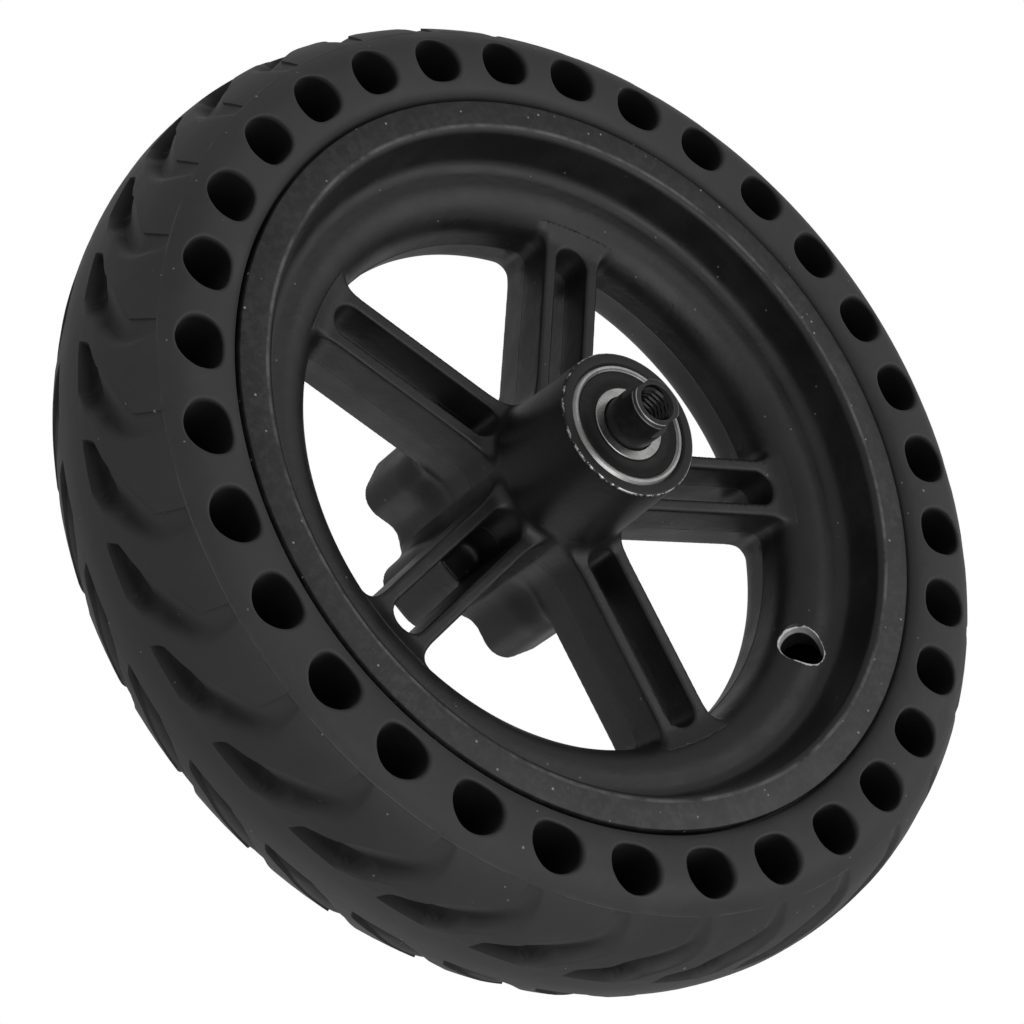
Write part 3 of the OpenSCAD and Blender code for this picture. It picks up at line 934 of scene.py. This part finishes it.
# The end face and its chamfer: radius, distance back from the end, and wear
END_FACE = ((4.4, 0.0, 0.0), (5.22, 0.0, 0.0), (5.3, 0.0, 0.5), (5.36, 0.05, 1.0), (5.42, 0.11, 0.5),
            (5.48, 0.17, 0.0), (5.8, 0.49, 0.0), (5.9, 0.6, 0.35), (AXLE_RADIUS, 0.7, 0.35),
            (AXLE_RADIUS, 0.8, 0.0))


def axle_ring(radius, n, flat, count):
    """One ring of the axle's skin. flat moves it in to the flats, from 0 for round to 1 for full flats."""
    ring = []
    for k in range(count):
        a = 2 * math.pi * k / count
        x, z = radius * math.cos(a), radius * math.sin(a)
        limit = FLAT_HALF + (radius - FLAT_HALF) * (1 - flat) if radius > FLAT_HALF else radius
        ring.append((x, -n, max(-limit, min(limit, z))))
    return ring


def thread_rings(sign, count):
    """From the thread's floor out to its mouth, with a helical ridge."""
    out = [axle_ring(0.02, sign * (AXLE_HALF - THREAD_DEPTH - DRILL_POINT), 0, count)]
    steps = int((THREAD_DEPTH - THREAD_RUNOUT) / THREAD_PITCH * THREAD_STEPS)
    for j in range(steps, -1, -1):
        depth = THREAD_START + j * THREAD_PITCH / THREAD_STEPS
        ring = []
        for k in range(count):
            a = 2 * math.pi * k / count
            phase = (depth / THREAD_PITCH + sign * a / (2 * math.pi)) % 1.0
            wave = abs(2 * phase - 1)
            radius = THREAD_CORE + (THREAD_CREST - THREAD_CORE) * float(smoothstep(0.1, 0.9, wave))
            ring.append((radius * math.cos(a), -sign * (AXLE_HALF - depth), radius * math.sin(a)))
        out.append(ring)
    return out


def end_rings(sign, count):
    """Rings from the thread's floor out over the end face to the round part, each with its wear."""
    flat_from = AXLE_HALF - FLAT_LENGTH
    out = [(ring, 0.0) for ring in thread_rings(sign, count)]
    out.append((axle_ring(THREAD_CORE + 0.65, sign * (AXLE_HALF - 0.18), 0, count), 0.0))
    out.append((axle_ring(THREAD_CORE + 0.8, sign * AXLE_HALF, 0, count), 0.05))
    for radius, back, wear in END_FACE:
        out.append((axle_ring(radius, sign * (AXLE_HALF - back), 1, count), wear))
    out.append((axle_ring(AXLE_RADIUS, sign * (flat_from + 0.35), 1, count), 0.0))
    out.append((axle_ring(AXLE_RADIUS, sign * (flat_from + 0.08), 0.85, count), 0.0))
    out.append((axle_ring(AXLE_RADIUS, sign * flat_from, 0, count), 0.0))
    return out


def axle_mesh(count=128):
    """Points, faces and wear of the axle's skin, closed by the flat floor of each thread."""
    shoulder_near = HUB_NEAR - 2 * BEARING_HALF
    shoulder_far = HUB_FAR + 2 * BEARING_HALF
    rings = end_rings(1, count)
    for radius, n in ((AXLE_RADIUS, shoulder_near),
                      (AXLE_SHOULDER - SHOULDER_CHAMFER, shoulder_near),
                      (AXLE_SHOULDER, shoulder_near - SHOULDER_CHAMFER),
                      (AXLE_SHOULDER, shoulder_far + SHOULDER_CHAMFER),
                      (AXLE_SHOULDER - SHOULDER_CHAMFER, shoulder_far),
                      (AXLE_RADIUS, shoulder_far)):
        rings.append((axle_ring(radius, n, 0, count), 0.0))
    rings += reversed(end_rings(-1, count))
    points = [p for ring, _ in rings for p in ring]
    marks = [wear for _, wear in rings for _ in range(count)]
    faces = []
    for j in range(len(rings) - 1):
        a, b = j * count, (j + 1) * count
        faces += [(a + k, b + k, b + (k + 1) % count, a + (k + 1) % count) for k in range(count)]
    faces.append(tuple(range(count)))
    faces.append(tuple(reversed(range(len(points) - count, len(points)))))
    return points, faces, marks


# ---------------------------------------------------------------- bearings

BALL_CIRCLE = 10.0
RACE_RADIUS = 2.45
SEAL_RECESS = 12.35


def bearing_place(profile, side):
    """Turns a bearing's profile, (radius, distance outwards from its middle), into (radius, n)."""
    if side == "near":
        middle = HUB_NEAR - BEARING_HALF
        return [(r, middle + h) for r, h in profile]
    middle = HUB_FAR + BEARING_HALF
    return [(r, middle - h) for r, h in reversed(profile)]


def race_arc(first, last):
    """The track that the balls run in, as an arc from one angle to the other in degrees."""
    turns = [math.radians(a) for a in range(first, last + 1, 10)]
    return [(BALL_CIRCLE + RACE_RADIUS * math.cos(a), RACE_RADIUS * math.sin(a)) for a in turns]


def outer_ring_profile():
    race = race_arc(-50, 50)
    edge = [(SEAL_RECESS, -2.6), (SEAL_RECESS, -3.7), (12.65, -BEARING_HALF), (13.4, -BEARING_HALF),
            (13.98, -3.45)]
    return race[::-1] + [(11.45, -2.6)] + edge + [(r, -h) for r, h in reversed(edge)] + [(11.45, 2.6)]


def inner_ring_profile():
    race = race_arc(130, 230)
    edge = [(8.3, -3.85), (8.15, -BEARING_HALF), (6.35, -BEARING_HALF), (6.02, -3.65)]
    return race + edge + [(r, -h) for r, h in reversed(edge)]


def seal_profile(outward):
    """The seal's skin: a raised bead at each edge and one shallow moulded step between them."""
    face = [(8.36, 3.2), (8.36, 3.62), (8.5, 3.69), (8.85, 3.69), (8.95, 3.62), (10.9, 3.62),
            (11.0, 3.66), (11.9, 3.66), (12.0, 3.69), (12.2, 3.69), (12.3, 3.58), (12.32, 3.2)]
    profile = [(8.36, 3.14)] + face[1:] + [(12.32, 3.14)]
    if outward:
        return profile[::-1]
    return [(r, -h) for r, h in profile]


# ---------------------------------------------------------------- pieces

rubber = tyre_rubber()
paint = wheel_paint()
steel = bearing_steel()
seal = seal_rubber()

points, faces, shades = tyre_mesh()
build("tyre_body", points, faces, "wheel", ["tyre"], [rubber], sharp=38, marks=shades)

points, faces = rim_mesh()
rim = build("cast_rim", points, faces, "wheel", ["wheel_casting"],
            [rim_paint()], sharp=RIM_SHARP)
cut_valve_hole(rim)

points, slopes, faces = spider_mesh()
build("cast_spokes", points, faces, "wheel", ["wheel_casting"], [paint], sharp=None,
      normals=slopes)

points, faces = hub_mesh()
build("cast_hub", points, faces, "wheel", ["wheel_casting"], [hub_paint()],
      sharp=RIM_SHARP)

points, faces, wear = axle_mesh()
build("through_axle", points, faces, "axle", ["axle"], [axle_black()], sharp=30, marks=wear)

for side in ("near", "far"):
    points, faces = turned(bearing_place(outer_ring_profile(), side))
    build(side + "_outer_race", points, faces, "wheel", [side + "_outer_ring"], [steel],
          sharp=25)
    points, faces = turned(bearing_place(inner_ring_profile(), side))
    build(side + "_inner_race", points, faces, "axle", [side + "_inner_ring"], [steel],
          sharp=25)
    for face_name, outward in (("outer", True), ("inner", False)):
        points, faces = turned(bearing_place(seal_profile(outward), side))
        node = side + "_" + face_name + "_seal"
        build(node + "_lip", points, faces, "wheel", [node], [seal], sharp=40)

# The balls, cages and rivets stay as the CAD has them, and only take a finish
balls = ball_steel()
cages = cage_steel()
for name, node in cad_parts.items():
    if node.hide_render:
        continue
    finish = balls if "ball" in name else cages
    for place in node.material_slots:
        place.material = finish


# ---------------------------------------------------------------- camera, light and floor

CAMERA_PLACE = Vector((-0.4000, -0.4270, 0.0))
CAMERA_AZIMUTH = math.radians(42.41)
CAMERA_ROLL = math.radians(-37.04)
CAMERA_LENS = 94.27

camera = bpy.data.objects.new("camera", bpy.data.cameras.new("camera"))
camera.data.lens = CAMERA_LENS
camera.data.sensor_width = 36
camera.data.clip_start = 0.01
camera.data.clip_end = 20
level = Matrix.Rotation(-CAMERA_AZIMUTH, 4, "Z") @ Matrix.Rotation(math.pi / 2, 4, "X")
camera.matrix_world = Matrix.Translation(CAMERA_PLACE) @ level @ Matrix.Rotation(CAMERA_ROLL, 4, "Z")
link(camera)
bpy.context.scene.camera = camera


def area_light(name, place, size, power):
    lamp = bpy.data.lights.new(name, "AREA")
    lamp.size = size
    lamp.energy = power
    holder = bpy.data.objects.new(name, lamp)
    holder.location = place
    holder.rotation_mode = "QUATERNION"
    holder.rotation_quaternion = (-Vector(place)).to_track_quat("-Z", "Y")
    link(holder)


area_light("low_left", (-0.64, -1.28, -0.72), 1.2, 6.5)
area_light("low_right", (0.75, -1.2, -0.6), 1.2, 4.5)
area_light("behind", (-0.68, 1.19, -0.85), 1.2, 2.0)

# White to the camera, as the photograph's background is, and weaker as a light
WORLD_STRENGTH = 0.40
world = bpy.data.worlds.new("studio")
world.use_nodes = True
lit = world.node_tree.nodes["Background"]
lit.inputs["Color"].default_value = (1.0, 1.0, 1.0, 1.0)
lit.inputs["Strength"].default_value = WORLD_STRENGTH
seen = world.node_tree.nodes.new("ShaderNodeBackground")
seen.inputs["Color"].default_value = (1.0, 1.0, 1.0, 1.0)
path = world.node_tree.nodes.new("ShaderNodeLightPath")
either = world.node_tree.nodes.new("ShaderNodeMixShader")
world.node_tree.links.new(path.outputs["Is Camera Ray"], either.inputs[0])
world.node_tree.links.new(lit.outputs[0], either.inputs[1])
world.node_tree.links.new(seen.outputs[0], either.inputs[2])
world.node_tree.links.new(either.outputs[0], world.node_tree.nodes["World Output"].inputs[0])
bpy.context.scene.world = world
bpy.context.scene.view_settings.view_transform = "Standard"

FLOOR_HALF = 1.4
FLOOR_DROP = 1.2
floor_mesh = bpy.data.meshes.new("floor")
corners = [(a * FLOOR_HALF, b * FLOOR_HALF, -FLOOR_DROP) for a, b in ((-1, -1), (1, -1), (1, 1), (-1, 1))]
floor_mesh.from_pydata(corners, [], [(0, 1, 2, 3)])
floor = bpy.data.objects.new("floor", floor_mesh)
floor_shader = Shader("pale_floor")
pale = floor_shader.mix(floor_shader.noise(6, 3, 0.5), grey(0.84), grey(0.88))
floor_mesh.materials.append(floor_shader.finish(pale, 0.8))
link(floor)
